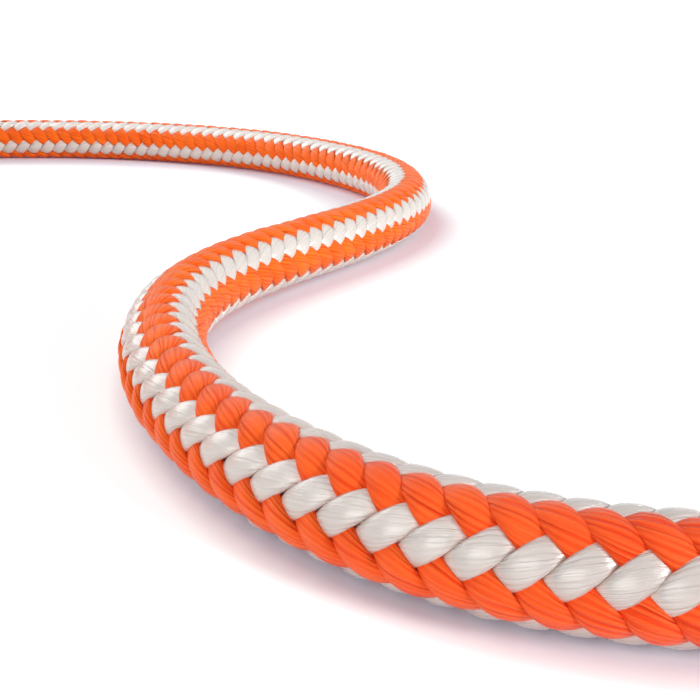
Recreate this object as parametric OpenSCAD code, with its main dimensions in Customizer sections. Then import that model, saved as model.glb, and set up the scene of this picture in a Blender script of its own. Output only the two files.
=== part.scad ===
/* [Rope] */
// Diameter of the rope over its cover
rope_d = 10; // [9.5:0.1:10.5]
// Thickness of the braided cover
cover_wall = 1.4; // [1.2:0.05:1.6]
// Clearance between the cover and what lies in it
core_fit = 0.08; // [0.05:0.01:0.12]
// Width of the marker tape among the core strands
tape_w = 1; // [0.7:0.1:1.1]
// Thickness of the marker tape
tape_t = 0.25; // [0.15:0.05:0.3]

/* [Rope ends] */
// Length of the shrunk sleeve on each end
sleeve_len = 14; // [10:1:18]
// Wall of the shrunk sleeve
sleeve_wall = 0.6; // [0.4:0.1:0.8]
// Clearance between a sleeve and the rope that it grips
sleeve_fit = 0.05; // [0.03:0.01:0.1]
// Length over which the rope swells again behind a sleeve
swell_len = 3; // [2:0.5:5]
// Length of the melted tip
seal_len = 3; // [2:0.5:4]
// Rounding of the melted tip
seal_round = 1.6; // [1:0.1:1.8]

/* [Coil] */
// Radius of the outermost turn, at the middle of the rope
coil_r = 77; // [75:0.5:79]
// Turns wound altogether
coil_turns = 12.25; // [11.5:0.25:12.75]
// Turns in one layer, before the winding turns back
layer_turns = 3.25; // [3:0.25:3.25]
// Free space between turns that lie side by side
turn_gap = 0.7; // [0.5:0.1:0.9]
// Free space between a turn and the layer above it
layer_gap = 0.5; // [0.5:0.1:0.8]

/* [Ties] */
// Width of a tie band
band_w = 16; // [12:1:20]
// Thickness of a tie band
band_t = 1; // [0.8:0.1:1.2]
// Clearance between a tie band and the turns in it
band_fit = 0.3; // [0.2:0.05:0.4]
// Length of a tie band's closing tail over the top of the turns
band_lap = 26; // [18:1:32]

/* [Hidden] */

rope_r = rope_d / 2;
bore_r = rope_r - cover_wall;
gripped_r = rope_r - sleeve_wall - sleeve_fit;

// Route of the stretch that lies open, from its near end to where the coil begins
route = [[139.5, -105], [121.5, -106.5], [113, -106], [98.5, -101.5], [89.5, -95.5],
         [77, -80.5], [71.5, -69], [68.5, -57.5], [69, -39.5], [74, -26.5], [82, -14.5],
         [90, -3.5], [97, 9], [100.5, 22], [100, 37], [95.5, 51.5], [87, 66], [75, 80],
         [68, 86], [51.5, 96], [34.5, 102.5], [17.5, 106], [-3.5, 106.5], [-24, 104],
         [-52.5, 97], [-74.5, 87.5]];

// The coil's axis, and the direction from it in which the winding begins
coil_axis = [-61.5, 2.5];
coil_start = 125;
turn_step = rope_d + turn_gap;
layer_step = rope_d + layer_gap;
rings_per_turn = 20;

// Directions from the coil's axis in which the ties stand, clear of the rope's ends
band_angles = [70, 180, 290];

free_sides = 12;
coil_sides = 6;
strand_sides = 8;
round_sides = 64;
strap_sides = 32;

// ---- Vectors and outlines ----

function unit(v) = v / norm(v);
function round_outline(r, sides) = [for (k = [0 : sides - 1])
    let (a = k * 360 / sides - 90) [r * cos(a), r * sin(a)]];

// A turn's outline: round, but for one flat side below, where the tie presses into it
press = asin((rope_r - band_t) / rope_r);
function pressed_outline(r, sides) = [for (k = [0 : sides - 1])
    let (a = -press + k * (180 + 2 * press) / (sides - 1)) [r * cos(a), r * sin(a)]];

// ---- Sweeping an outline along a line of points ----

function heading(p, i) = i == 0 ? unit(p[1] - p[0])
    : i == len(p) - 1 ? unit(p[i] - p[i - 1])
    : unit(unit(p[i + 1] - p[i]) + unit(p[i] - p[i - 1]));
function ring(p, i, outline) =
    let (t = heading(p, i), side = unit([-t[1], t[0], 0]), up = cross(t, side))
    [for (q = outline) p[i] + q[0] * side + q[1] * up];
function rings(p, outline, sizes) = [for (i = [0 : len(p) - 1])
    each ring(p, i, outline * (i < len(sizes) ? sizes[i] : 1))];
function wall(n, rows, first, inward) = [for (i = [0 : rows - 2]) for (j = [0 : n - 1])
    let (a = first + i * n + j, b = first + i * n + (j + 1) % n)
    each inward ? [[a, b, b + n], [a, b + n, a + n]] : [[a, a + n, b + n], [a, b + n, b]]];
function disc(n, first, ahead) = [for (j = [1 : n - 2])
    ahead ? [first, first + j + 1, first + j] : [first, first + j, first + j + 1]];
function rim(n, outer, inner, ahead) = [for (j = [0 : n - 1]) let (k = (j + 1) % n)
    each ahead ? [[outer + j, inner + j, inner + k], [outer + j, inner + k, outer + k]]
               : [[outer + j, outer + k, inner + k], [outer + j, inner + k, inner + j]]];

// A solid cord with this outline. sizes scales the outline at each point
module cord(p, outline, sizes = []) {
    n = len(outline);
    last = n * (len(p) - 1);
    polyhedron(rings(p, outline, sizes),
               concat(wall(n, len(p), 0, false), disc(n, 0, false), disc(n, last, true)));
}

// A hollow cord. sizes scales the outer outline alone
module hose(p, outer, bore, sizes = []) {
    n = len(outer);
    count = n * len(p);
    polyhedron(concat(rings(p, outer, sizes), rings(p, bore, [])),
               concat(wall(n, len(p), 0, false), wall(n, len(p), count, true),
                      rim(n, 0, count, false), rim(n, count - n, 2 * count - n, true)));
}

// ---- The coil's line ----

// Share of the winding's width at an angle: 1 on the outermost turn, 0 on the innermost
function share_out(a) = abs((a / (360 * layer_turns)) % 2 - 1);
function turn_r(a) = coil_r - turn_step * layer_turns * (1 - share_out(a));
// Layers climbed by an angle: each climb takes the half turn round a reversal
function ease(x) = let (y = max(0, min(1, x))) y * y * (3 - 2 * y);
function layers_up(a) = ease(a / 180 - 2 * layer_turns + 0.5)
    + ease(a / 180 - 4 * layer_turns + 0.5) + ease(a / 180 - 6 * layer_turns + 0.5);
function coil_point(a) = [coil_axis[0] + turn_r(a) * cos(coil_start + a),
                          coil_axis[1] + turn_r(a) * sin(coil_start + a),
                          rope_r + layer_step * layers_up(a)];

coil_end = 360 * coil_turns;
ring_angle = 360 / rings_per_turn;
wound = [for (a = [0 : ring_angle : coil_end]) coil_point(a)];
in_dir = unit(coil_point(1) - coil_point(0));
out_dir = unit(coil_point(coil_end) - coil_point(coil_end - 1));
coil_in = wound[0] - in_dir * rope_d;
coil_out = coil_point(coil_end) + out_dir * rope_d;
far_grip = coil_out + out_dir * swell_len;
far_end = far_grip + out_dir * sleeve_len;
coil_line = concat([coil_in], wound, [coil_out, far_grip, far_end]);
coil_sizes = [for (i = [0 : len(coil_line) - 1])
    i < len(coil_line) - 2 ? 1 : gripped_r / rope_r];

// ---- The open stretch's line ----

laid = [for (q = route) [q[0], q[1], rope_r]];
near_end = laid[0];
near_dir = unit(laid[1] - laid[0]);
near_grip = near_end + near_dir * sleeve_len;
free_line = concat([near_end, near_grip, near_grip + near_dir * swell_len],
                   [for (i = [1 : len(laid) - 1]) laid[i]],
                   [coil_in - in_dir * rope_d, coil_in]);
free_sizes = [gripped_r / rope_r, gripped_r / rope_r];

// ---- What lies in the open stretch's bore ----

bore_inside = bore_r * cos(180 / free_sides);
strand_r = (bore_inside - core_fit) / 3 - core_fit / 2;
strand_ring = 2 * strand_r + core_fit;
tape_at = bore_inside - core_fit - tape_t / 2;

// ---- Measures that are printed ----

function line_length(p, i = 1) = i < len(p) ? norm(p[i] - p[i - 1]) + line_length(p, i + 1) : 0;
function least_gap(p, apart) = min([for (i = [0 : len(p) - 1 - apart])
    min([for (j = [i + apart : len(p) - 1]) norm(p[i] - p[j])])]);
echo(str("Rope length ", round(line_length(free_line) + line_length(coil_line)), " mm"));
echo(str("Least gap of the coil to itself ",
         least_gap(wound, rings_per_turn / 2) - rope_d, " mm"));

// ---- Shared shapes ----

// Places what stands along +Z at p, pointing along dir
module aim(p, dir) {
    translate(p) rotate([0, acos(dir[2]), atan2(dir[1], dir[0])]) children();
}

module sleeve() {
    color("darkslategray") difference() {
        cylinder(h = sleeve_len, r = rope_r, $fn = round_sides);
        translate([0, 0, -1]) cylinder(h = sleeve_len + 2, r = gripped_r + sleeve_fit, $fn = round_sides);
    }
}

module seal() {
    rounded = [for (a = [0 : 15 : 90])
        [gripped_r - seal_round + seal_round * cos(a), seal_len - seal_round + seal_round * sin(a)]];
    color("sienna") rotate_extrude($fn = round_sides)
        polygon(concat([[0, 0], [gripped_r, 0]], rounded, [[0, seal_len]]));
}

module core_strand(offset) {
    color("ivory") cord(free_line, [for (q = round_outline(strand_r, strand_sides)) q + offset]);
}

// Offset of one of the six outer core strands from the rope's middle
function strand_offset(k) = strand_ring * [cos(60 * k), sin(60 * k)];

// Winding angles at which turns pass a tie that stands in this direction
function passing(angle) = [for (k = [0 : coil_turns])
    let (a = (angle - coil_start + 720) % 360 + 360 * k) if (a <= coil_end) a];
// Where those turns lie across the width of the tie: distance from the coil's axis, height
function held(angle) = [for (a = passing(angle), lean = [-1, 0, 1])
    let (b = a + lean * asin(band_w / 2 / turn_r(a)))
    [turn_r(b) * cos(b - a), rope_r + layer_step * layers_up(b)]];

// The taut outline round the turns at a tie, this far from them
module round_turns(angle, out) {
    hull() for (q = held(angle)) translate(q) circle(rope_r + out, $fn = strap_sides);
}

module above(level) {
    intersection() {
        children();
        translate([0, level]) square(2 * coil_r);
    }
}

module tie_band(angle) {
    tail_start = min([for (q = held(angle)) q[0]]);
    color("dimgray") translate([coil_axis[0], coil_axis[1], 0]) rotate([90, 0, angle])
        translate([0, 0, -band_w / 2]) linear_extrude(band_w) {
            difference() {
                above(0) round_turns(angle, band_fit + band_t);
                above(band_t) round_turns(angle, band_fit);
            }
            intersection() {
                difference() {
                    round_turns(angle, band_fit + 2 * band_t);
                    round_turns(angle, band_fit + band_t / 2);
                }
                translate([tail_start, rope_d + layer_step]) square([band_lap, 2 * coil_r]);
            }
        }
}

// ---- The pieces ----

module cover_free() {
    color("orangered") hose(free_line, round_outline(rope_r, free_sides),
                            round_outline(bore_r, free_sides), free_sizes);
}

module cover_coil() {
    color("orangered") hose(coil_line, pressed_outline(rope_r, coil_sides),
                            pressed_outline(bore_r, coil_sides), coil_sizes);
}

module core_coil() {
    color("ivory") cord(coil_line, pressed_outline(bore_r - core_fit, coil_sides));
}

module marker_tape() {
    half = [tape_t / 2, tape_w / 2];
    flat = [[-half[0], -half[1]], [half[0], -half[1]], [half[0], half[1]], [-half[0], half[1]]];
    // The tape stands in the gap between the first two outer strands
    color("royalblue") cord(free_line, [for (q = flat)
        let (x = tape_at + q[0], y = q[1]) [x * cos(30) - y * sin(30), x * sin(30) + y * cos(30)]]);
}

module end_sleeve_near() { aim(near_end, near_dir) sleeve(); }
module end_seal_near() { aim(near_end, -near_dir) seal(); }
module end_sleeve_far() { aim(far_end, -out_dir) sleeve(); }
module end_seal_far() { aim(far_end, out_dir) seal(); }

cover_free();
cover_coil();
core_strand([0, 0]);  // core_strand_1
core_strand(strand_offset(0));  // core_strand_2
core_strand(strand_offset(1));  // core_strand_3
core_strand(strand_offset(2));  // core_strand_4
core_strand(strand_offset(3));  // core_strand_5
core_strand(strand_offset(4));  // core_strand_6
core_strand(strand_offset(5));  // core_strand_7
marker_tape();
core_coil();
end_sleeve_near();
end_seal_near();
end_sleeve_far();
end_seal_far();
tie_band(band_angles[0]);  // tie_band_1
tie_band(band_angles[1]);  // tie_band_2
tie_band(band_angles[2]);  // tie_band_3
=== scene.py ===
import bpy
import numpy as np
from mathutils import Matrix, Vector


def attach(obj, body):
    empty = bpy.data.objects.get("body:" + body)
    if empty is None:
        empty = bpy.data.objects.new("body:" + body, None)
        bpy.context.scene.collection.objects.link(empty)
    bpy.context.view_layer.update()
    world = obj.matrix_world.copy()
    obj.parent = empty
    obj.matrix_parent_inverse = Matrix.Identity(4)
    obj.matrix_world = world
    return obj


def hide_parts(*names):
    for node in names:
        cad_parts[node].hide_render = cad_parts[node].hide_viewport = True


# All lengths are metres and all angles are degrees, unless a name says otherwise.

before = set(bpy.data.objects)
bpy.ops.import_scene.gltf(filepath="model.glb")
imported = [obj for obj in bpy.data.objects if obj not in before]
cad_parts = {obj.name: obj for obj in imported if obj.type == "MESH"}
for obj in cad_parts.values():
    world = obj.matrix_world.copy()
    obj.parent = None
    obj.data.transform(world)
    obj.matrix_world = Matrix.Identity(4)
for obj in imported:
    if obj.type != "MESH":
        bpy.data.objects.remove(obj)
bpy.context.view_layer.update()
print("frame loaded:", len(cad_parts), "nodes")

view = {
    "place": (0.090, -0.1652, 0.0434),
    "pitchDown": 20.05,
    "focalPixels": 993.5,
    "imagePixels": 700.0,
    "sensorWidth": 36.0,  # millimetres
    "nearClip": 0.005,
}


# A camera that looks along +Y and down by the pitch. Its lens is to the sensor's width as the focal length in
# pixels is to the picture's.
def makeCamera(look):
    data = bpy.data.cameras.new("camera")
    data.sensor_fit = "HORIZONTAL"
    data.sensor_width = look["sensorWidth"]
    data.lens = look["focalPixels"] / look["imagePixels"] * look["sensorWidth"]
    data.clip_start = look["nearClip"]
    camera = bpy.data.objects.new("camera", data)
    bpy.context.scene.collection.objects.link(camera)
    tilt = np.radians(90 - look["pitchDown"])  # a camera with no turn looks straight down
    camera.matrix_world = Matrix.Translation(look["place"]) @ Matrix.Rotation(tilt, 4, "X")
    bpy.context.scene.camera = camera


makeCamera(view)
print("camera placed")

rope = {
    "radius": 0.005,
    "route": [  # the stretch that lies open, from its near end to the coil
        (0.1395, -0.105), (0.1215, -0.1065), (0.113, -0.106), (0.0985, -0.1015), (0.0895, -0.0955),
        (0.077, -0.0805), (0.0715, -0.069), (0.0685, -0.0575), (0.069, -0.0395), (0.074, -0.0265),
        (0.082, -0.0145), (0.090, -0.0035), (0.097, 0.009), (0.1005, 0.022), (0.100, 0.037),
        (0.0955, 0.0515), (0.087, 0.066), (0.075, 0.080), (0.068, 0.086), (0.0515, 0.096),
        (0.0345, 0.1025), (0.0175, 0.106), (-0.0035, 0.1065), (-0.024, 0.104), (-0.0525, 0.097),
        (-0.0745, 0.0875)],
    "sleeve": 0.014,         # length of the sleeve on either end
    "swell": 0.003,          # over which the rope swells again behind it
    "grippedRadius": 0.00435,
    "lineStep": 0.0005,      # between the points of the middle line where it lies open
    "headingReach": 0.0015,  # to either side, over which its heading is taken
    "leadDiameters": 1,      # straight before the coil, and again behind its end, in diameters
}

coil = {
    "axis": (-0.0615, 0.0025),
    "startAngle": 125.0,
    "outerRadius": 0.077,
    "turns": 12.25,
    "layerTurns": 3.25,      # turns in one layer, before the winding turns back
    "turnStep": 0.0107,      # from one turn of a layer to the next
    "layerStep": 0.0105,     # from one layer up to the next
    "angleStep": 0.4,        # between the points of the coil's line
    "endStep": 0.1,          # between the last two, which give the way out
}


# A winding about an upright axis. The radius falls and rises evenly with the angle, one layer each way,
# and the height climbs a layer by a smooth step, x * x * (3 - 2 * x), over the half turn round each reversal.
def coilPoints(angle, c, ropeRadius):
    out = np.abs((angle / (360 * c["layerTurns"])) % 2 - 1)
    radius = c["outerRadius"] - c["turnStep"] * c["layerTurns"] * (1 - out)
    climbed = np.zeros_like(angle)
    for reversal in range(1, int(c["turns"] / c["layerTurns"]) + 1):
        x = np.clip(angle / 180 - 2 * reversal * c["layerTurns"] + 0.5, 0, 1)
        climbed += x * x * (3 - 2 * x)
    turn = np.radians(c["startAngle"] + angle)
    return np.column_stack([c["axis"][0] + radius * np.cos(turn), c["axis"][1] + radius * np.sin(turn),
                            ropeRadius + c["layerStep"] * climbed])


# Cubic spline by chord length: no curvature at its first point, a given direction at its last.
def splineThrough(points, endSlope, spacing):
    step = np.diff(points, axis=0)
    chord = np.linalg.norm(step, axis=1)
    knot = np.concatenate([[0], np.cumsum(chord)])
    count = len(points)
    matrix = np.zeros((count, count))
    right = np.zeros((count, points.shape[1]))
    rows = np.arange(1, count - 1)
    matrix[rows, rows - 1] = 1 / chord[:-1]
    matrix[rows, rows] = 2 * (1 / chord[:-1] + 1 / chord[1:])
    matrix[rows, rows + 1] = 1 / chord[1:]
    right[1:-1] = 3 * (step[:-1] / chord[:-1, None] ** 2 + step[1:] / chord[1:, None] ** 2)
    matrix[0, :2] = 2 / chord[0], 1 / chord[0]
    right[0] = 3 * step[0] / chord[0] ** 2
    matrix[-1, -1] = 1
    right[-1] = endSlope
    slope = np.linalg.solve(matrix, right)
    at = np.arange(0, knot[-1], spacing)
    i = np.clip(np.searchsorted(knot, at, side="right") - 1, 0, count - 2)
    t = ((at - knot[i]) / chord[i])[:, None]
    h = chord[i][:, None]
    return ((1 + 2 * t) * (1 - t) ** 2 * points[i] + t * (1 - t) ** 2 * h * slope[i]
            + t ** 2 * (3 - 2 * t) * points[i + 1] - t ** 2 * (1 - t) * h * slope[i + 1])


# The rope's whole middle line as points about 0.5 mm apart: the open stretch, the coil and the straight far
# end.
def ropeLine(r, c):
    spacing = r["lineStep"]
    straight = r["leadDiameters"] * 2 * r["radius"]
    turned = 360 * c["turns"]
    wound = coilPoints(np.arange(0, turned, c["angleStep"]), c, r["radius"])
    last = coilPoints(np.array([turned - c["endStep"], turned]), c, r["radius"])
    wound = np.vstack([wound, last[1:]])
    intoCoil = (wound[1] - wound[0]) / np.linalg.norm(wound[1] - wound[0])
    outOfCoil = (last[1] - last[0]) / np.linalg.norm(last[1] - last[0])
    laid = np.array([(x, y, r["radius"]) for x, y in r["route"]])
    nearWay = (laid[1] - laid[0]) / np.linalg.norm(laid[1] - laid[0])
    start = laid[0] + nearWay * np.array([[0], [r["sleeve"]], [r["sleeve"] + r["swell"]]])
    joined = np.vstack([start, laid[1:], wound[0] - intoCoil * 2 * straight, wound[0] - intoCoil * straight])
    lying = splineThrough(joined, intoCoil, spacing)
    lead = wound[0] - intoCoil * straight * np.arange(1, 0, -spacing / straight)[:, None]
    tail = r["sleeve"] + r["swell"] + straight
    end = last[1] + outOfCoil * np.arange(spacing, tail + spacing / 2, spacing)[:, None]
    points = np.vstack([lying, lead, wound, end])
    along = np.concatenate([[0], np.cumsum(np.linalg.norm(np.diff(points, axis=0), axis=1))])
    return along, points, float(along[len(lying)])


lineAlong, linePoints, openLength = ropeLine(rope, coil)
ropeLength = float(lineAlong[-1])
print("rope line: %.3f m, of which %.3f m lies open" % (ropeLength, openLength))


# Centre, heading, left side and upper side of the rope at these distances from its near end. The heading runs
# from a point a little behind to one a little ahead, the left side is level, and up is square to both.
def ropeFrame(s):
    def at(x):
        x = np.clip(x, 0, ropeLength)
        return np.column_stack([np.interp(x, lineAlong, linePoints[:, k]) for k in range(3)])

    reach = rope["headingReach"]
    heading = at(s + reach) - at(s - reach)
    heading /= np.linalg.norm(heading, axis=1, keepdims=True)
    left = np.column_stack([-heading[:, 1], heading[:, 0], np.zeros(len(s))])
    left /= np.linalg.norm(left, axis=1, keepdims=True)
    return at(s), heading, left, np.cross(heading, left)


# A smooth-shaded mesh piece, with a map for its pattern and a named value at each point where it has them.
def makeMesh(name, vertices, faces, uv=None, valueName="", values=None):
    mesh = bpy.data.meshes.new(name)
    mesh.from_pydata(vertices.tolist(), [], faces.tolist() if isinstance(faces, np.ndarray) else faces)
    if uv is not None:
        layer = mesh.uv_layers.new(name="yarn")
        layer.data.foreach_set("uv", uv.astype(np.float32).ravel())
    if values is not None:
        layer = mesh.attributes.new(name=valueName, type="FLOAT", domain="POINT")
        layer.data.foreach_set("value", values.astype(np.float32).ravel())
    mesh.polygons.foreach_set("use_smooth", np.ones(len(mesh.polygons), bool))
    mesh.update()
    piece = bpy.data.objects.new(name, mesh)
    bpy.context.scene.collection.objects.link(piece)
    return piece


# Quads between neighbouring rings of the same number of points. They face outwards where the rings go
# clockwise as seen from the far end.
def tubeFaces(rows, sides, first):
    i, k = np.meshgrid(np.arange(rows - 1), np.arange(sides), indexing="ij")
    a = first + i * sides + k
    b = first + i * sides + (k + 1) % sides
    return np.stack([a, a + sides, b + sides, b], axis=-1).reshape(-1, 4)


core = {
    "radius": 0.0036,
    "sides": 12,
    "spacing": 0.003,        # from ring to ring
}


# A round tube: centre + radius * (cos t * left + sin t * up), closed at both ends.
def makeCore(look):
    s = np.linspace(0, ropeLength, int(ropeLength / look["spacing"]))
    centre, heading, left, up = ropeFrame(s)
    t = np.linspace(0, 2 * np.pi, look["sides"], endpoint=False)
    ring = centre[:, None] + look["radius"] * (np.cos(t)[None, :, None] * left[:, None]
                                               + np.sin(t)[None, :, None] * up[:, None])
    faces = tubeFaces(len(s), look["sides"], 0)[:, ::-1].tolist()  # these rings go the other way
    faces.append(list(range(look["sides"])))
    faces.append(list(range((len(s) - 1) * look["sides"], len(s) * look["sides"]))[::-1])
    return makeMesh("core", ring.reshape(-1, 3), faces), centre


corePiece, corePath = makeCore(core)
print("core made")

braid = {
    "yarnsEachWay": 8,
    # where a white row lies, from the top towards the left of travel, by distance from the near end
    "rowAngles": [(-0.05, 72), (0.036, 65), (0.070, 58), (0.103, 51), (0.128, 39.5), (0.165, 28.5),
                  (0.201, 22.5), (0.228, 23), (0.274, 26), (0.321, 24.5), (5.1, 324)],
    # stitches of a row passed by then, a white one being whole there
    "stitchCounts": [(-0.038, -20), (0.020, -3.2), (0.048, 5.6), (0.066, 10.6), (0.084, 15.65), (0.100, 19.6),
                     (0.114, 24.0), (0.136, 30.53), (0.152, 36), (0.176, 44.3), (0.200, 52.1), (0.230, 61.1),
                     (0.262, 70.2), (0.300, 81.33), (0.350, 95.85), (5.09, 1491)],
    "crestRadius": (0.00487, 0.00502),       # of a stitch's top about the rope's middle: white, orange
    "wave": 0.00050,              # by which a yarn rises over and dips under the others
    "wavesRound": 4,              # once round, it crosses all of the others twice, four in each wave
    # share of the wave and of a stitch's height that is left, by distance from the near end
    "relief": [(-0.05, 0.88), (0.07, 0.88), (0.12, 0.66), (0.2, 0.66), (0.3, 0.72), (0.4, 0.88), (5.1, 0.88)],
    "waveFlatness": 0.25,         # 0 for a sine, 0.5 for one with flat tops
    "stitchHalfWidth": (0.00129, 0.0014),
    "hiddenHalfWidth": (0.00080, 0.00086),
    "stitchHalfHeight": 0.00072,
    "hiddenHalfHeight": 0.00046,
    "squareness": 2.25,           # power of the yarn's outline, 2 being an ellipse
    "bluntness": 0.55,            # below 1 a stitch keeps its width further towards its ends
    "fineLength": 0.372,          # the stretch with fine meshes
    "fineRings": 10,              # rings in each stitch
    "coarseRings": 4,
    "fineSides": 14,
    "creaseRadius": 0.0040,       # up to here the yarns are in each other's shade, which their material paints in
    "countStep": 0.0002,          # steps along the rope at which stitches are counted
    "markReach": 0.01,            # over which the marks above are smoothed, to either side
    # unevenness, as its size and its wavelength: of a yarn's angle, its height and the share of its width
    "angleNoise": (0.8, 0.004), "heightNoise": (0.00003, 0.003), "widthNoise": (0.02, 0.005),
    "firstSeed": 100, "seedStep": 10,
}


# Straight lines between the marks, averaged at nine places over a stretch of this reach to either side.
def smoothMarks(s, marks, reach):
    x, y = zip(*marks)
    return np.mean([np.interp(s + step, x, y) for step in np.linspace(-reach, reach, 9)], axis=0)


# A smooth random curve of about unit size: cubic blends between random values a wavelength apart.
def smoothNoise(random, s, wavelength):
    knots = random.normal(0, 1, int(ropeLength / wavelength) + 3)
    x = s / wavelength
    i = x.astype(int)
    t = x - i
    t = t * t * (3 - 2 * t)
    return knots[i] * (1 - t) + knots[i + 1] * t


# Share of its full girth that the rope keeps: less where a sleeve grips either end.
def squeeze(s):
    fromEnd = np.minimum(s, ropeLength - s)
    t = np.clip((fromEnd - rope["sleeve"]) / rope["swell"], 0, 1)
    gripped = rope["grippedRadius"] / rope["radius"]
    return gripped + (1 - gripped) * t * t * (3 - 2 * t)


# Distances at which the yarns have a ring, the stitches passed by then, and how many of the rings are fine.
# The rings are evenly spaced in stitches, closer along the open stretch.
def stitchStations(b):
    s = np.arange(0, ropeLength, b["countStep"])
    passed = smoothMarks(s, b["stitchCounts"], b["markReach"])
    fineEnd = np.interp(b["fineLength"], s, passed)
    fine = np.arange(passed[0], fineEnd, 1 / b["fineRings"])
    coarse = np.arange(fine[-1] + 1 / b["coarseRings"], passed[-1], 1 / b["coarseRings"])
    count = np.concatenate([fine, coarse])
    return np.interp(count, passed, s), count, len(fine)


# One yarn of the braid. It runs round the rope once in eight stitches, rises over two crossing yarns and
# dips under the next two. Its outline is a power ellipse: |x / width| ** p + |y / height| ** p = 1.
def makeYarn(b, hand, index):
    random = np.random.default_rng(b["firstSeed"] + b["seedStep"] * index + hand)
    s, count, fineCount = stitchStations(b)
    centre, heading, left, up = ropeFrame(s)
    kind = 0 if hand > 0 else 1

    # Size times a random curve of that wavelength.
    def uneven(noise):
        return noise[0] * smoothNoise(random, s, noise[1])

    around = hand * 360 / b["yarnsEachWay"] * (count - index - 0.5 * kind) + uneven(b["angleNoise"])
    raised = hand * np.cos(np.radians(b["wavesRound"] * around))
    raised = raised * (1 + b["waveFlatness"] * (1 - raised ** 2))
    share = 0.5 + 0.5 * raised
    angle = np.radians(around + smoothMarks(s, b["rowAngles"], b["markReach"]))
    girth = squeeze(s)
    relief = smoothMarks(s, b["relief"], b["markReach"])
    depth = relief * (b["stitchHalfHeight"] + b["wave"] * (1 - raised))
    radius = (b["crestRadius"][kind] - depth + uneven(b["heightNoise"])) * girth
    outward = np.cos(angle)[:, None] * up + np.sin(angle)[:, None] * left
    middle = centre + radius[:, None] * outward
    run = np.gradient(middle, s, axis=0)
    run /= np.linalg.norm(run, axis=1, keepdims=True)
    outward = outward - np.sum(outward * run, axis=1, keepdims=True) * run
    outward /= np.linalg.norm(outward, axis=1, keepdims=True)
    across = np.cross(run, outward)
    hidden = b["hiddenHalfWidth"][kind]
    halfWidth = hidden + (b["stitchHalfWidth"][kind] - hidden) * share ** b["bluntness"]
    halfWidth *= girth * (1 + uneven(b["widthNoise"]))
    halfHeight = b["hiddenHalfHeight"] + (b["stitchHalfHeight"] - b["hiddenHalfHeight"]) * share
    halfHeight *= girth * relief

    # The points of these rings, and how far each stands between the crease and the rope's surface.
    def rings(rows, sides):
        t = -np.pi / 2 + 2 * np.pi * np.arange(sides) / sides
        power = 2 / b["squareness"]
        x = np.sign(np.cos(t)) * np.abs(np.cos(t)) ** power
        y = np.sign(np.sin(t)) * np.abs(np.sin(t)) ** power
        points = (middle[rows, None] + (halfWidth[rows, None] * x)[..., None] * across[rows, None]
                  + (halfHeight[rows, None] * y)[..., None] * outward[rows, None])
        fromCentre = points - centre[rows, None]
        fromCentre -= np.sum(fromCentre * heading[rows, None], axis=2, keepdims=True) * heading[rows, None]
        height = np.linalg.norm(fromCentre, axis=2) / girth[rows, None]
        # How far up from the crease a point stands; the yarn material paints its crease shade and glow by it.
        rise = (height - b["creaseRadius"]) / (rope["radius"] - b["creaseRadius"])
        return points.reshape(-1, 3), np.clip(rise, 0, 1).ravel()

    fineSides = b["fineSides"]
    coarseSides = fineSides // 2
    finePart, fineRise = rings(slice(0, fineCount), fineSides)
    coarsePart, coarseRise = rings(slice(fineCount, len(s)), coarseSides)
    vertices = np.vstack([finePart, coarsePart])
    along = np.concatenate([[0], np.cumsum(np.linalg.norm(np.diff(middle, axis=0), axis=1))])

    faces, uvs = [], []
    for first, rows, sides, row0 in ((0, fineCount, fineSides, 0),
                                     (fineCount * fineSides, len(s) - fineCount, coarseSides, fineCount)):
        faces.append(tubeFaces(rows, sides, first))
        i, k = np.meshgrid(np.arange(rows - 1), np.arange(sides), indexing="ij")
        low, high = along[row0 + i], along[row0 + i + 1]
        u0, u1 = k / sides, (k + 1) / sides
        uvs.append(np.stack([np.stack([u0, low], -1), np.stack([u0, high], -1),
                             np.stack([u1, high], -1), np.stack([u1, low], -1)], axis=2).reshape(-1, 2))

    # Triangles join the last fine ring to the first coarse one, which has half as many points.
    k = np.arange(coarseSides)
    fineRow = (fineCount - 1) * fineSides
    coarseRow = fineCount * fineSides
    f0, f1, f2 = fineRow + 2 * k, fineRow + 2 * k + 1, fineRow + (2 * k + 2) % fineSides
    c0, c1 = coarseRow + k, coarseRow + (k + 1) % coarseSides
    corners = ((f0, c0, f1), (f1, c0, c1), (f1, c1, f2))
    bridge = np.concatenate([np.stack(three, -1) for three in corners])
    low, high = along[fineCount - 1], along[fineCount]
    uLow, uMid, uHigh = k / coarseSides, (k + 0.5) / coarseSides, (k + 1) / coarseSides

    # Places on the map with these u and all at one v.
    def level(u, v):
        return np.stack([u, np.full(len(u), v)], -1)

    bridgeUv = np.concatenate([
        np.stack([level(uLow, low), level(uLow, high), level(uMid, low)], 1),
        np.stack([level(uMid, low), level(uLow, high), level(uHigh, high)], 1),
        np.stack([level(uMid, low), level(uHigh, high), level(uHigh, low)], 1)]).reshape(-1, 2)
    nearCap = np.arange(fineSides)[::-1]
    farCap = np.arange(len(vertices) - coarseSides, len(vertices))
    allFaces = faces[0].tolist() + faces[1].tolist() + bridge.tolist() + [nearCap.tolist(), farCap.tolist()]
    capUv = np.concatenate([level(nearCap / fineSides, along[0]),
                            level((farCap - farCap[0]) / coarseSides, along[-1])])
    uv = np.vstack(uvs + [bridgeUv, capUv])
    uv[:, 1] *= 1000  # the pattern runs in millimetres of yarn
    name = ("yarn_white_" if hand > 0 else "yarn_orange_") + str(index + 1)
    return makeMesh(name, vertices, allFaces, uv, "rise", np.concatenate([fineRise, coarseRise]))


whiteYarns = [makeYarn(braid, 1, k) for k in range(braid["yarnsEachWay"])]
orangeYarns = [makeYarn(braid, -1, k) for k in range(braid["yarnsEachWay"])]
print("braid made:", len(whiteYarns) + len(orangeYarns), "yarns")


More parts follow.
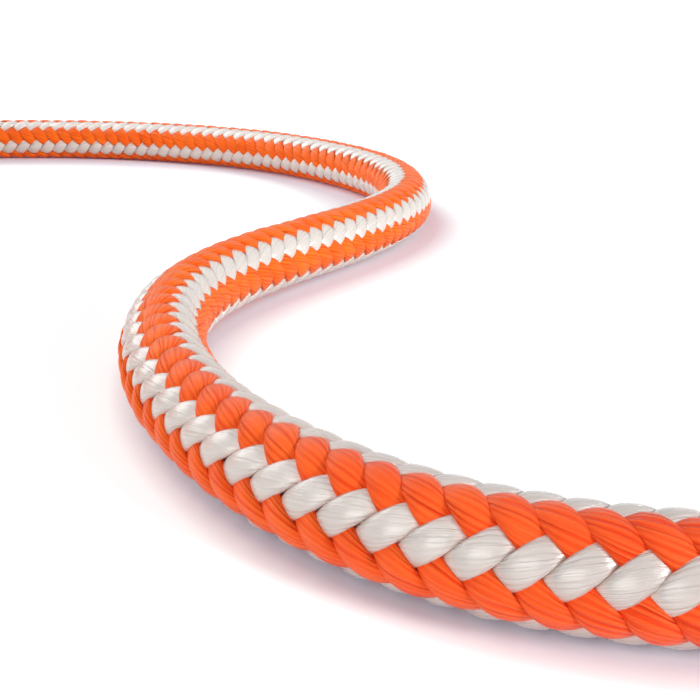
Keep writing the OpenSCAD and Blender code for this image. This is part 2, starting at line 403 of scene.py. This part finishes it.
# A colour as it is seen, in 0 to 255, as the linear values that a shader takes.
def linear(red, green, blue):
    c = np.array([red, green, blue]) / 255
    c = np.where(c <= 0.04045, c / 12.92, ((c + 0.055) / 1.055) ** 2.4)
    return (*c.tolist(), 1.0)


# A short way to write a material's nodes. An input is either a value or the output of another node.
class Nodes:
    def __init__(self, name):
        self.material = bpy.data.materials.new(name)
        self.material.use_nodes = True
        self.tree = self.material.node_tree
        self.shader = self.tree.nodes["Principled BSDF"]

    def add(self, kind, inputs=(), **settings):
        node = self.tree.nodes.new(kind)
        for key, value in settings.items():
            setattr(node, key, value)
        for socket, value in dict(inputs).items():
            self.put(value, node.inputs[socket])
        return node

    def put(self, value, socket):
        if isinstance(value, bpy.types.NodeSocket):
            self.tree.links.new(value, socket)
        else:
            socket.default_value = value

    def math(self, operation, a, b=0.0, c=0.0):
        return self.add("ShaderNodeMath", {0: a, 1: b, 2: c}, operation=operation).outputs[0]

    def blend(self, amount, a, b):
        return self.add("ShaderNodeMix", {0: amount, 6: a, 7: b}, data_type="RGBA").outputs[2]

    def noise(self, vector, scale, detail=2.0, roughness=0.5):
        return self.add("ShaderNodeTexNoise", {"Vector": vector, "Scale": scale, "Detail": detail,
                                               "Roughness": roughness}).outputs["Fac"]

    def ramp(self, value, low, high, toLow=0.0, toHigh=1.0):
        return self.add("ShaderNodeMapRange", {"Value": value, "From Min": low, "From Max": high,
                                               "To Min": toLow, "To Max": toHigh}).outputs[0]


yarnLook = {
    "filaments": 70.0,       # round a yarn
    "lean": 0.085,           # turns of the filaments round the yarn, per millimetre
    "streakLength": 9.0,     # millimetres over which a filament's shade changes
    "spread": 0.0003,        # how far light spreads inside a yarn
    "paintedLightFrom": 35.0, "paintedLightTo": 150.0,  # millimetres of yarn over which the colour is painted lighter, the orange also yellower, standing in for brighter light there
    "varnishRoughness": 0.2,
    "stretchedShine": 0.8,   # by which highlights are drawn out across the filaments
    "filamentTurn": 0.08,    # angle of the filaments to the yarn, as a share of a full turn
    "swayCount": 0.5, "swayPush": 7.0, "sway": 1.6,          # noise that pushes the bundles aside
    "depthLow": 0.35, "depthHigh": 0.65, "leastDepth": 0.2,  # noise that sets how deep a groove is
    "groovePower": 1.5,      # above 1 the grooves are narrower than the bundles
    "patchesPerMetre": 160.0,
    "patchShare": 0.25,      # of the darker colour in soft patches, at random
    "filamentShare": 0.35,   # the same, painted as shade between filaments
    "paintedCreaseShare": 0.85,     # share of the painted crease colour at the crease: painted shade on the orange, a painted pink glow on the white
    "paintedCreaseTo": 0.6,         # share of the way up to the rope's surface where none of that painted colour is left
    "noiseLow": 0.3, "noiseHigh": 0.7,  # noise values between which patches and filaments fade
    "sheenRoughness": 0.4,
    "spreadByColour": (1.0, 0.6, 0.45),  # share of the spread that red, green and blue light have
}

whiteLook = {
    "pale": (196, 185, 178),
    # the darker colour: painted shade in the grooves and between filaments, and the tone of soft patches
    "groove": (172, 158, 152),
    "paintedLitPale": (222, 214, 207),   # pale and groove, painted lighter further along the yarn, standing in for brighter light there
    "paintedLitGroove": (198, 188, 180),
    # painted pink glow where the yarn dives into the creases, standing in for light bounced off the orange
    "paintedCreaseShadeAndGlow": (255, 222, 208),
    "bundles": 13.0,         # twisted bundles round a yarn
    # share of the darker colour painted into the grooves as shade
    "grooveShare": 0.28,
    "bundleDepth": 0.00006,
    "filamentDepth": 0.00004,
    "roughness": 0.25,
    "specular": 1.0,
    "refraction": 1.7,
    "varnish": 0.8,          # weight of a second, smoother shine
    "specularTint": (255, 255, 255),
    "sheen": 0.1,
    "glowThrough": 0.3,      # share of light that spreads inside the yarn
}

orangeLook = {
    "pale": (255, 108, 54),
    # the darker colour: painted shade in the grooves and between filaments, and the tone of soft patches
    "groove": (224, 26, 12),
    # pale and groove, painted lighter and yellower further along the yarn, standing in for brighter light
    # there
    "paintedLitPale": (255, 131, 42),
    "paintedLitGroove": (246, 60, 14),
    # painted shade where the yarn dives into the creases, a deeper red
    "paintedCreaseShadeAndGlow": (250, 70, 30),
    "bundles": 13.0,
    # share of the darker colour painted into the grooves as shade
    "grooveShare": 0.75,
    "bundleDepth": 0.0001,
    "filamentDepth": 0.00004,
    "roughness": 0.3,
    "specular": 0.3,
    "refraction": 1.5,
    "varnish": 0.0,
    "specularTint": (255, 150, 50),
    "sheen": 0.0,
    "glowThrough": 0.15,
}


# Filaments lie in bundles that twist round the yarn, so that they run nearly along the rope. The grooves
# between them are a power of (1 + cos) / 2 of the place round the yarn, and differ in depth; a darker colour
# is painted into them and between the filaments as shade. Further along the yarn the colour is painted
# lighter, the orange also yellower, standing in for brighter light beyond the rope's near stretch. Where the
# yarn dives its
# colour goes over to painted crease light: a deeper red shade on the orange, a pink glow of light bounced off
# the orange on the white. Highlights are drawn out across the filaments, and a smoother varnish may shine
# over them.
def yarnMaterial(name, look, tint, hand):
    n = Nodes(name)
    uv = n.add("ShaderNodeUVMap", uv_map="yarn").outputs[0]
    split = n.add("ShaderNodeSeparateXYZ", {0: uv})
    twisted = n.math("MULTIPLY_ADD", split.outputs[1], hand * look["lean"], split.outputs[0])
    slow = n.math("MULTIPLY", split.outputs[1], 1 / look["streakLength"])

    # Noise with so many cells round the yarn, drawn out along the filaments.
    def streaks(count, detail, push=0.0):
        x = n.math("MULTIPLY_ADD", twisted, count, push)
        return n.noise(n.add("ShaderNodeCombineXYZ", {0: x, 1: slow}).outputs[0], 1.0, detail)

    def faded(noise):
        return n.ramp(noise, look["noiseLow"], look["noiseHigh"])

    sway = streaks(tint["bundles"] * look["swayCount"], detail=1.0, push=look["swayPush"])
    sway = n.math("MULTIPLY", sway, look["sway"])
    place = n.math("MULTIPLY_ADD", twisted, tint["bundles"], sway)
    wave = n.math("COSINE", n.math("MULTIPLY", place, 2 * np.pi))
    depth = streaks(tint["bundles"], detail=1.0)
    depth = n.ramp(depth, look["depthLow"], look["depthHigh"], look["leastDepth"], 1.0)
    groove = n.math("POWER", n.math("MULTIPLY_ADD", wave, 0.5, 0.5), look["groovePower"])
    groove = n.math("MULTIPLY", groove, depth)
    filaments = faded(streaks(look["filaments"], detail=2.0))
    patches = faded(n.noise(n.add("ShaderNodeTexCoord").outputs["Object"], look["patchesPerMetre"]))
    # Painted light: further along the yarn both colours go over to lighter ones, standing in for brighter
    # light beyond the rope's near stretch.
    turned = n.ramp(split.outputs[1], look["paintedLightFrom"], look["paintedLightTo"])
    pale = n.blend(turned, linear(*tint["pale"]), linear(*tint["paintedLitPale"]))
    darkToneAndShade = n.blend(turned, linear(*tint["groove"]), linear(*tint["paintedLitGroove"]))
    tone = n.blend(n.math("MULTIPLY", patches, look["patchShare"]), pale, darkToneAndShade)
    # Painted shade: the grooves between the bundles and the spaces between filaments take the darker colour.
    tone = n.blend(n.math("MULTIPLY", groove, tint["grooveShare"]), tone, darkToneAndShade)
    tone = n.blend(n.ramp(filaments, 0.0, 1.0, look["filamentShare"], 0.0), tone, darkToneAndShade)
    # Painted crease light: towards the crease the colour goes over to a painted shade on the orange and a
    # painted pink glow on the white.
    rise = n.add("ShaderNodeAttribute", attribute_name="rise").outputs["Fac"]
    paintedCreaseShadeAndGlow = n.ramp(rise, 0.0, look["paintedCreaseTo"], look["paintedCreaseShare"], 0.0)
    tone = n.blend(paintedCreaseShadeAndGlow, tone, linear(*tint["paintedCreaseShadeAndGlow"]))
    n.put(tone, n.shader.inputs["Base Color"])
    n.put(tint["roughness"], n.shader.inputs["Roughness"])
    n.put(tint["specular"], n.shader.inputs["Specular IOR Level"])
    n.put(tint["refraction"], n.shader.inputs["IOR"])
    n.put(tint["varnish"], n.shader.inputs["Coat Weight"])
    n.put(look["varnishRoughness"], n.shader.inputs["Coat Roughness"])
    n.put(linear(*tint["specularTint"]), n.shader.inputs["Specular Tint"])
    n.put(tint["sheen"], n.shader.inputs["Sheen Weight"])
    n.put(look["sheenRoughness"], n.shader.inputs["Sheen Roughness"])
    n.put(tint["glowThrough"], n.shader.inputs["Subsurface Weight"])
    n.put(look["spreadByColour"], n.shader.inputs["Subsurface Radius"])
    n.put(look["spread"], n.shader.inputs["Subsurface Scale"])
    n.put(look["stretchedShine"], n.shader.inputs["Anisotropic"])
    n.put(hand * look["filamentTurn"] % 1, n.shader.inputs["Anisotropic Rotation"])
    tangent = n.add("ShaderNodeTangent", direction_type="UV_MAP", uv_map="yarn")
    n.put(tangent.outputs[0], n.shader.inputs["Tangent"])
    coarse = n.add("ShaderNodeBump", {"Strength": 1.0, "Distance": tint["bundleDepth"],
                                      "Height": n.math("SUBTRACT", 1.0, groove)})
    fine = n.add("ShaderNodeBump", {"Strength": 1.0, "Distance": tint["filamentDepth"], "Height": filaments,
                                    "Normal": coarse.outputs[0]})
    n.put(fine.outputs[0], n.shader.inputs["Normal"])
    return n.material


whiteYarnFinish = yarnMaterial("white yarn", yarnLook, whiteLook, 1)
orangeYarnFinish = yarnMaterial("orange yarn", yarnLook, orangeLook, -1)

coreLook = {
    "colour": (238, 234, 224),
    # painted shade in the valleys between the strands
    "valleyShade": (206, 199, 184),
    "valleyShadeTo": 0.2, "colourFrom": 1.1,  # heights at which the painted valley shade gives way to the colour
    "lay": 0.004,                        # from ridge to ridge
    "grainSize": 0.0004, "grainShare": 0.4,
    "relief": 0.0003,
    "roughness": 0.75,
}


# Twisted strands: slanted ridges that follow the sum of the three coordinates, with finer noise on them. The
# low places, mostly the valleys between ridges, are painted darker as shade.
def coreMaterial(look):
    n = Nodes("core yarn")
    place = n.add("ShaderNodeTexCoord").outputs["Object"]
    split = n.add("ShaderNodeSeparateXYZ", {0: place}).outputs
    slant = n.math("ADD", n.math("ADD", split[0], split[1]), split[2])
    wave = n.math("SINE", n.math("MULTIPLY", slant, 2 * np.pi / look["lay"]))
    ridge = n.math("MULTIPLY_ADD", wave, 0.5, 0.5)
    grain = n.noise(place, 1 / look["grainSize"], detail=3.0)
    height = n.math("MULTIPLY_ADD", grain, look["grainShare"], ridge)
    tone = n.ramp(height, look["valleyShadeTo"], look["colourFrom"])
    n.put(n.blend(tone, linear(*look["valleyShade"]), linear(*look["colour"])), n.shader.inputs["Base Color"])
    n.put(look["roughness"], n.shader.inputs["Roughness"])
    relief = n.add("ShaderNodeBump", {"Strength": 1.0, "Distance": look["relief"], "Height": height})
    n.put(relief.outputs[0], n.shader.inputs["Normal"])
    return n.material


sleeveLook = {
    "colour": (27, 27, 30),
    "rubbed": (58, 58, 62),
    "rubbedPerMetre": 260.0, "rubbedFrom": 0.58, "rubbedTo": 0.68,  # noise values over which it fades in
    "dentSize": 0.004, "dentDepth": 0.0002,
    "grainSize": 0.0003, "grainDepth": 0.00001,
    "roughness": 0.36, "rubbedRoughness": 0.56,
}


# A shrunk tube: broad shallow dents where it has drawn in over the braid, a fine grain, and rubbed patches
# that are lighter and duller.
def sleeveMaterial(look):
    n = Nodes("shrunk sleeve")
    place = n.add("ShaderNodeTexCoord").outputs["Object"]
    dents = n.noise(place, 1 / look["dentSize"], detail=1.0)
    grain = n.noise(place, 1 / look["grainSize"], detail=3.0)
    rubbed = n.noise(place, look["rubbedPerMetre"], detail=6.0, roughness=0.65)
    rubbed = n.ramp(rubbed, look["rubbedFrom"], look["rubbedTo"])
    n.put(n.blend(rubbed, linear(*look["colour"]), linear(*look["rubbed"])), n.shader.inputs["Base Color"])
    n.put(n.ramp(rubbed, 0.0, 1.0, look["roughness"], look["rubbedRoughness"]), n.shader.inputs["Roughness"])
    broad = n.add("ShaderNodeBump", {"Strength": 1.0, "Distance": look["dentDepth"], "Height": dents})
    fine = n.add("ShaderNodeBump", {"Strength": 1.0, "Distance": look["grainDepth"], "Height": grain,
                                    "Normal": broad.outputs[0]})
    n.put(fine.outputs[0], n.shader.inputs["Normal"])
    return n.material


sealLook = {
    "orange": (214, 92, 42),
    "cream": (218, 188, 160),
    "scorched": (84, 44, 28),
    "marblingPerMetre": 420.0, "warp": 1.2,
    "orangeTo": 0.44, "creamFrom": 0.58,  # noise values at which the one gives way to the other
    "specksPerMetre": 900.0, "scorchFrom": 0.6, "scorchTo": 0.72,
    "relief": 0.0003,
    "roughness": 0.26, "scorchedRoughness": 0.55,
}


# Melted yarns: orange and cream run into each other along warped noise, with scorched specks and soft
# ripples.
def sealMaterial(look):
    n = Nodes("melted tip")
    place = n.add("ShaderNodeTexCoord").outputs["Object"]
    swirl = n.add("ShaderNodeTexNoise", {"Vector": place, "Scale": look["marblingPerMetre"], "Detail": 3.0,
                                         "Distortion": look["warp"]}).outputs["Fac"]
    marbled = n.ramp(swirl, look["orangeTo"], look["creamFrom"])
    tone = n.blend(marbled, linear(*look["orange"]), linear(*look["cream"]))
    specks = n.noise(place, look["specksPerMetre"], detail=3.0)
    scorched = n.ramp(specks, look["scorchFrom"], look["scorchTo"])
    n.put(n.blend(scorched, tone, linear(*look["scorched"])), n.shader.inputs["Base Color"])
    n.put(n.ramp(scorched, 0.0, 1.0, look["roughness"], look["scorchedRoughness"]),
          n.shader.inputs["Roughness"])
    relief = n.add("ShaderNodeBump", {"Strength": 1.0, "Distance": look["relief"], "Height": swirl})
    n.put(relief.outputs[0], n.shader.inputs["Normal"])
    return n.material


strapLook = {
    "thread": (50, 50, 55),
    # painted shade in the low places between the threads
    "gap": (12, 12, 14),
    "fuzz": (84, 84, 90),
    "warpStep": 0.0011, "weftStep": 0.0013,  # from one thread to the next but one
    "middleRadius": 0.0596,                  # of the straps' middle about the coil's axis
    "gapTo": 0.1, "threadFrom": 0.8,         # heights at which the painted shade between the threads gives way to the thread
    "hairsPerMetre": 3200.0, "hairFrom": 0.5, "hairTo": 0.75, "hairShare": 0.6, "hairStrength": 0.6,
    "wornPerMetre": 140.0, "wornFrom": 0.45, "wornTo": 0.65, "wornShare": 0.3,
    "relief": 0.00025,
    "reliefOverHair": 3,                     # the threads stand up so many times as far as the hairs
    "roughness": 0.82,
    "sheen": 0.3,
}


# A plain weave. Across the strap runs the angle about the coil's axis, and along it the distance from that
# axis plus the height, which grows both on its flat faces and on its upright ones. The threads stand up where
# the product of the two sines is large, and the low places between them are painted darker as shade. Short
# hairs and worn patches are lighter.
def strapMaterial(look):
    n = Nodes("woven strap")
    place = n.add("ShaderNodeTexCoord").outputs["Object"]
    toAxis = (-coil["axis"][0], -coil["axis"][1], 0)
    centred = n.add("ShaderNodeMapping", {"Vector": place, "Location": toAxis})
    split = n.add("ShaderNodeSeparateXYZ", {0: centred.outputs[0]}).outputs
    squares = n.math("MULTIPLY_ADD", split[0], split[0], n.math("MULTIPLY", split[1], split[1]))
    fromAxis = n.math("SQRT", squares)
    across = n.math("MULTIPLY", n.math("ARCTAN2", split[1], split[0]), look["middleRadius"])
    along = n.math("ADD", fromAxis, split[2])
    warp = n.math("SINE", n.math("MULTIPLY", across, 2 * np.pi / look["warpStep"]))
    weft = n.math("SINE", n.math("MULTIPLY", along, 2 * np.pi / look["weftStep"]))
    weave = n.math("MULTIPLY_ADD", n.math("MULTIPLY", warp, weft), 0.5, 0.5)
    hairs = n.noise(place, look["hairsPerMetre"], detail=4.0, roughness=0.7)
    woven = n.ramp(weave, look["gapTo"], look["threadFrom"])
    tone = n.blend(woven, linear(*look["gap"]), linear(*look["thread"]))
    hairy = n.ramp(hairs, look["hairFrom"], look["hairTo"], 0.0, look["hairShare"])
    tone = n.blend(hairy, tone, linear(*look["fuzz"]))
    worn = n.noise(place, look["wornPerMetre"], detail=3.0)
    worn = n.ramp(worn, look["wornFrom"], look["wornTo"], 0.0, look["wornShare"])
    n.put(n.blend(worn, tone, linear(*look["fuzz"])), n.shader.inputs["Base Color"])
    n.put(look["roughness"], n.shader.inputs["Roughness"])
    n.put(look["sheen"], n.shader.inputs["Sheen Weight"])
    threads = n.add("ShaderNodeBump", {"Strength": 1.0, "Distance": look["relief"], "Height": weave})
    hairRelief = look["relief"] / look["reliefOverHair"]
    fluff = n.add("ShaderNodeBump", {"Strength": look["hairStrength"], "Distance": hairRelief,
                                     "Height": hairs, "Normal": threads.outputs[0]})
    n.put(fluff.outputs[0], n.shader.inputs["Normal"])
    return n.material


coreFinish = coreMaterial(coreLook)
sleeveFinish = sleeveMaterial(sleeveLook)
sealFinish = sealMaterial(sealLook)
strapFinish = strapMaterial(strapLook)


# Gives a piece its one material and its slot.
def dress(piece, material):
    piece.data.materials.clear()
    piece.data.materials.append(material)


coreNodes = ["core_coil", "marker_tape"] + ["core_strand_%d" % k for k in range(1, 8)]
dress(corePiece, coreFinish)
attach(corePiece, "root")
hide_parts(*coreNodes)
for yarns, finish in ((whiteYarns, whiteYarnFinish), (orangeYarns, orangeYarnFinish)):
    for yarn in yarns:
        dress(yarn, finish)
        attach(yarn, "root")
        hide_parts("cover_free", "cover_coil")
for name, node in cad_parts.items():
    for start, finish, slotName in (("end_sleeve", sleeveFinish, "sleeve"), ("end_seal", sealFinish, "seal"),
                                    ("tie_band", strapFinish, "tie")):
        if name.startswith(start):
            dress(node, finish)

studio = {
    "floorSide": 6.0,
    "fineReach": 0.17, "fineStep": 0.002,  # the part of the floor with a fine grid
    "coarseSteps": 12,                     # from there to each edge, growing evenly
    "ropeThinning": 4,                     # one in so many points of the rope's line shades the floor
    "floorRoughness": 0.9,
    "bounceColour": (250, 248, 246),       # the floor as it lights the rope
    "seenColour": (255, 255, 255),         # the floor as the camera sees it
    "shadeColour": (240, 234, 240),        # the same, close beside the rope, where it paints a shadow
    "floorGlow": (0.25, 0.3, 0.31),        # what the camera sees added to the floor
    "contactGlow": (0.02, 0.03, 0.06),     # the same, close beside the rope, where the weaker glow paints a shadow
    "farGlow": 1.0,                        # the same, well away from it
    "farFrom": 0.25, "farTo": 0.6,         # distances from the origin over which that begins
    "shadowFrom": 0.0032, "shadowTo": 0.0068,  # distances from the rope's middle over which its painted shadow ends
    # how many times as far the painted shadow reaches, by distance along the rope from its near end
    "shadeReach": [(0, 1.05), (0.1, 0.95), (0.14, 1.8), (0.2, 2.2), (0.26, 2.0), (0.33, 2.9), (0.45, 3.0)],
    "worldStrength": 0.43,
    "lamps": {  # side of the square, place, watts
        "top lamp": (1.2, (-0.3, 0.25, 1.1), 1.3),
        "back lamp": (0.7, (-0.6, 0.5, 0.5), 4.0),
        "right lamp": (0.64, (2.4, -1.5, 1.05), 62.0),
        "front lamp": (2.2, (-1.3, -2.5, 0.64), 44.0),
    },
    "aim": (0.05, -0.02, 0.0),
}


# A level grid with even steps round the rope and growing ones outside. Each point holds how far away a
# straight rope would lie that shades it as much: pi over the sum of reach * step / distance ** 2 along the
# open rope, or twice the distance from the coil's rim where that is less.
# That value sets where the floor's shadow is painted in.
def floorGrid(look):
    fine = np.arange(-look["fineReach"], look["fineReach"], look["fineStep"])
    coarse = np.geomspace(look["fineReach"], look["floorSide"] / 2, look["coarseSteps"])
    line = np.concatenate([-coarse[::-1], fine[1:], coarse])
    x, y = np.meshgrid(line, line, indexing="ij")
    thinning = look["ropeThinning"]
    isOpen = lineAlong < openLength
    lying = linePoints[isOpen, :2][::thinning]
    step = thinning * (lineAlong[1] - lineAlong[0])
    reach = smoothMarks(lineAlong[isOpen][::thinning], look["shadeReach"], braid["markReach"])
    halfStep = step / 2  # keeps the sum finite right under the rope
    shade = sum(much * step / ((x - px) ** 2 + (y - py) ** 2 + halfStep ** 2)
                for much, (px, py) in zip(reach, lying))
    toRope = np.pi / shade
    toCoil = np.hypot(x - coil["axis"][0], y - coil["axis"][1]) - coil["outerRadius"]
    count = len(line)
    i, k = np.meshgrid(np.arange(count - 1), np.arange(count - 1), indexing="ij")
    a = i * count + k
    faces = np.stack([a, a + count, a + count + 1, a + 1], axis=-1).reshape(-1, 4)
    vertices = np.stack([x, y, np.zeros_like(x)], axis=-1).reshape(-1, 3)
    return vertices, faces, np.minimum(toRope, np.maximum(2 * toCoil, 0))


# The floor is a dull white. What looks at it straight, in a mirror or through glass sees a glow added that
# makes it plain white, save where the rope shades it; close beside the rope a shadow is also painted in, with
# less glow and a darker colour.
def makeFloor(look):
    vertices, faces, away = floorGrid(look)
    floor = makeMesh("floor", vertices, faces, valueName="away", values=away)
    n = Nodes("floor")
    rays = n.add("ShaderNodeLightPath").outputs
    mirrored = n.math("MAXIMUM", rays["Is Glossy Ray"], rays["Is Transmission Ray"])
    seen = n.math("MAXIMUM", rays["Is Camera Ray"], mirrored)
    n.put(look["floorRoughness"], n.shader.inputs["Roughness"])
    n.put(0.0, n.shader.inputs["Specular IOR Level"])
    # Painted shadow: close beside the rope the floor is seen in the shade colour, with less glow.
    pastPaintedShadow = n.ramp(n.add("ShaderNodeAttribute", attribute_name="away").outputs["Fac"],
                    look["shadowFrom"], look["shadowTo"])
    shown = n.blend(pastPaintedShadow, linear(*look["shadeColour"]), linear(*look["seenColour"]))
    n.put(n.blend(seen, linear(*look["bounceColour"]), shown), n.shader.inputs["Base Color"])
    place = n.add("ShaderNodeTexCoord").outputs["Object"]
    middle = n.add("ShaderNodeVectorMath", {0: place}, operation="LENGTH")
    far = n.ramp(middle.outputs["Value"], look["farFrom"], look["farTo"])
    colour = n.blend(pastPaintedShadow, (*look["contactGlow"], 1), (*look["floorGlow"], 1))
    colour = n.blend(far, colour, (look["farGlow"],) * 3 + (1,))
    glow = n.add("ShaderNodeEmission", {"Color": colour, "Strength": seen})
    both = n.add("ShaderNodeAddShader", {0: n.shader.outputs[0], 1: glow.outputs[0]})
    n.put(both.outputs[0], n.tree.nodes["Material Output"].inputs["Surface"])
    floor.data.materials.append(n.material)


# A square lamp that faces the aim.
def makeLamp(name, side, place, watts, aim):
    data = bpy.data.lights.new(name, "AREA")
    data.size = side
    data.energy = watts
    lamp = bpy.data.objects.new(name, data)
    bpy.context.scene.collection.objects.link(lamp)
    lamp.location = place
    lamp.rotation_euler = (Vector(aim) - Vector(place)).to_track_quat("-Z", "Y").to_euler()


# The world lights the rope evenly, and is plain white where it is seen or mirrored.
def makeWorld(look):
    world = bpy.data.worlds.new("studio")
    world.use_nodes = True
    tree = world.node_tree
    background = tree.nodes["Background"]
    background.inputs[0].default_value = (1, 1, 1, 1)
    rays = tree.nodes.new("ShaderNodeLightPath").outputs
    seen = rays["Is Camera Ray"]
    for other in ("Is Glossy Ray", "Is Transmission Ray"):
        either = tree.nodes.new("ShaderNodeMath")
        either.operation = "MAXIMUM"
        tree.links.new(seen, either.inputs[0])
        tree.links.new(rays[other], either.inputs[1])
        seen = either.outputs[0]
    strength = tree.nodes.new("ShaderNodeMapRange")
    strength.inputs["To Min"].default_value = look["worldStrength"]
    strength.inputs["To Max"].default_value = 1.0
    tree.links.new(seen, strength.inputs["Value"])
    tree.links.new(strength.outputs[0], background.inputs[1])
    bpy.context.scene.world = world


makeFloor(studio)
for name, (side, place, watts) in studio["lamps"].items():
    makeLamp(name, side, place, watts, studio["aim"])
makeWorld(studio)
bpy.context.scene.view_settings.view_transform = "Standard"
print("studio lit")
